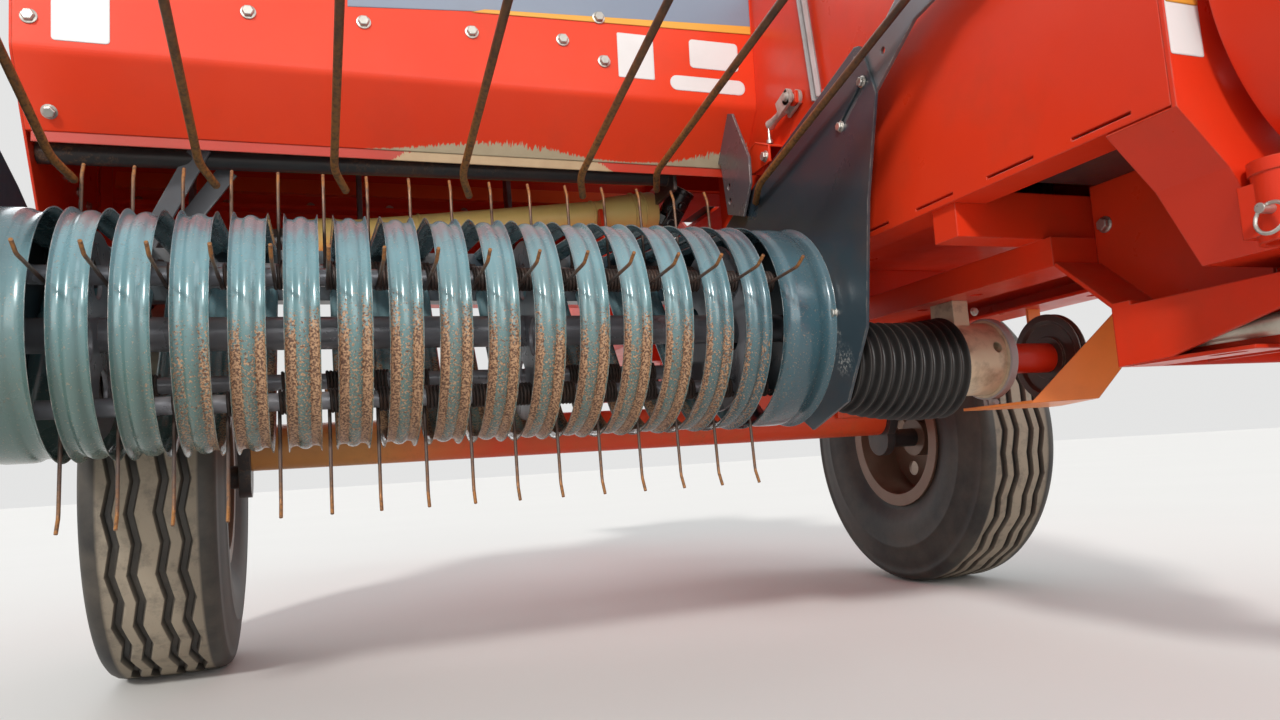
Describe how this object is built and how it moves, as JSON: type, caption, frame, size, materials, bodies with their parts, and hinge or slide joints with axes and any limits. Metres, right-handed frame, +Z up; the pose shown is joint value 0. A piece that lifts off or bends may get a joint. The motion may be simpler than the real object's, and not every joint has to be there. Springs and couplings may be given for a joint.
{
  "type": "small rectangular baler",
  "caption": "Towed small rectangular baler with an offset tined pickup, wind guard, bale case, knotters, flywheel, swinging drawbar and parking jack.",
  "frame": {"origin": "on the ground under the middle of the machine's outline, parked on its wheels and jack", "axes": "+Z up, -Y the direction of travel towards the hitch, +X the left hand of the machine, where the bale case is"},
  "size_m": [2.137, 4.865, 1.342],
  "materials": {
    "red_paint": "gloss red-orange paint, dusty",
    "orange_paint": "gloss orange paint",
    "band_blue": "light blue-grey paint with rust specks",
    "plate_blue": "dark blue-green paint, scuffed",
    "dark_steel": "dark grey paint",
    "tine_steel": "spring steel, rusty",
    "bare_steel": "worn bare steel",
    "zinc": "zinc plate, dull",
    "tyre": "ribbed implement tyre, dusty",
    "rim_paint": "brown painted rim",
    "bellows_rubber": "black rubber bellows",
    "guard_yellow": "yellow plastic guard tube",
    "yoke_black": "black forged yoke"
  },
  "bodies": {
    "root": {"axle_tube": "red_paint", "axle_brackets": "dark_steel", "frame_rails": "red_paint", "frame_front_box": "red_paint", "pivot_pin": "dark_steel", "stand_socket": "red_paint", "underside_tray": "orange_paint", "housing_right_panel": "red_paint", "housing_left_panel": "red_paint", "housing_front_panel": "orange_paint", "housing_top": "red_paint", "gearbox": "dark_steel", "plunger": "bare_steel", "case_floor": "red_paint", "case_roof": "red_paint", "tension_rails": "red_paint", "tension_screws": "zinc", "knotter_frame": "red_paint", "knotters": "zinc", "needle_yoke": "red_paint", "feed_floor": "red_paint", "feed_rear_wall": "red_paint", "feed_end_plate": "red_paint", "feeder_hood": "red_paint", "feeder_pipe": "dark_steel", "feeder_forks": "bare_steel", "hood_bracket": "dark_steel", "twine_box": "red_paint", "pto_shaft": "guard_yellow", "pto_yokes": "yoke_black", "pickup_plate_right": "plate_blue", "pickup_plate_left": "plate_blue", "stripper_bands": "band_blue", "pickup_rear_beam": "plate_blue", "guard_arms": "dark_steel", "drive_bellows": "bellows_rubber", "drive_hub": "zinc", "drive_tube": "red_paint", "drive_disc": "dark_steel", "brace_pipe": "zinc"},
    "reel": {"reel_shaft": "bare_steel", "tine_bar_1": "tine_steel", "tine_bar_2": "tine_steel", "tine_bar_3": "tine_steel", "tine_bar_4": "tine_steel"},
    "wind_guard": {"wind_guard": "tine_steel"},
    "wheel_left": {"tyre_left": "tyre", "rim_left": "rim_paint"},
    "wheel_right": {"tyre_right": "tyre", "rim_right": "rim_paint"},
    "flywheel": {"flywheel": "red_paint"},
    "drawbar": {"drawbar_beam": "red_paint", "hitch_clevis": "dark_steel", "jack_sleeve": "dark_steel"},
    "jack": {"jack_leg": "zinc"},
    "twine_lid": {"twine_lid": "red_paint"},
    "bale_chute": {"bale_chute": "red_paint"},
    "star_wheel": {"star_wheel": "zinc"}
  },
  "joints": [
    {"name": "wheel_left_turn", "type": "hinge", "parent": "root", "child": "wheel_left", "pos_m": [0.9555, 0.6925, 0.378], "axis": [-1, 0, 0], "continuous": true},
    {"name": "wheel_right_turn", "type": "hinge", "parent": "root", "child": "wheel_right", "pos_m": [-0.8735, 0.6925, 0.378], "axis": [-1, 0, 0], "continuous": true},
    {"name": "reel_turn", "type": "hinge", "parent": "root", "child": "reel", "pos_m": [-0.4255, 0.0495, 0.581], "axis": [-1, 0, 0], "continuous": true},
    {"name": "wind_guard_lift", "type": "hinge", "parent": "root", "child": "wind_guard", "pos_m": [-0.4255, -0.5375, 1.01], "axis": [1, 0, 0], "range_deg": [0, 60]},
    {"name": "drawbar_swing", "type": "hinge", "parent": "root", "child": "drawbar", "pos_m": [0.5095, -0.8325, 0.4775], "axis": [0, 0, 1], "range_deg": [-15, 10]},
    {"name": "jack_raise", "type": "slide", "parent": "drawbar", "child": "jack", "axis": [0, 0, 1], "range_m": [0, 0.22]},
    {"name": "flywheel_turn", "type": "hinge", "parent": "root", "child": "flywheel", "pos_m": [0.5095, -0.7895, 0.832], "axis": [0, 1, 0], "continuous": true},
    {"name": "twine_lid_open", "type": "hinge", "parent": "root", "child": "twine_lid", "pos_m": [-0.0255, 1.2165, 1.164], "axis": [-1, 0, 0], "range_deg": [0, 100]},
    {"name": "chute_fold", "type": "hinge", "parent": "root", "child": "bale_chute", "pos_m": [0.4945, 2.0025, 0.7], "axis": [1, 0, 0], "range_deg": [0, 90]},
    {"name": "star_wheel_turn", "type": "hinge", "parent": "root", "child": "star_wheel", "pos_m": [0.4945, 1.3825, 1.192], "axis": [-1, 0, 0], "continuous": true}
  ]
}
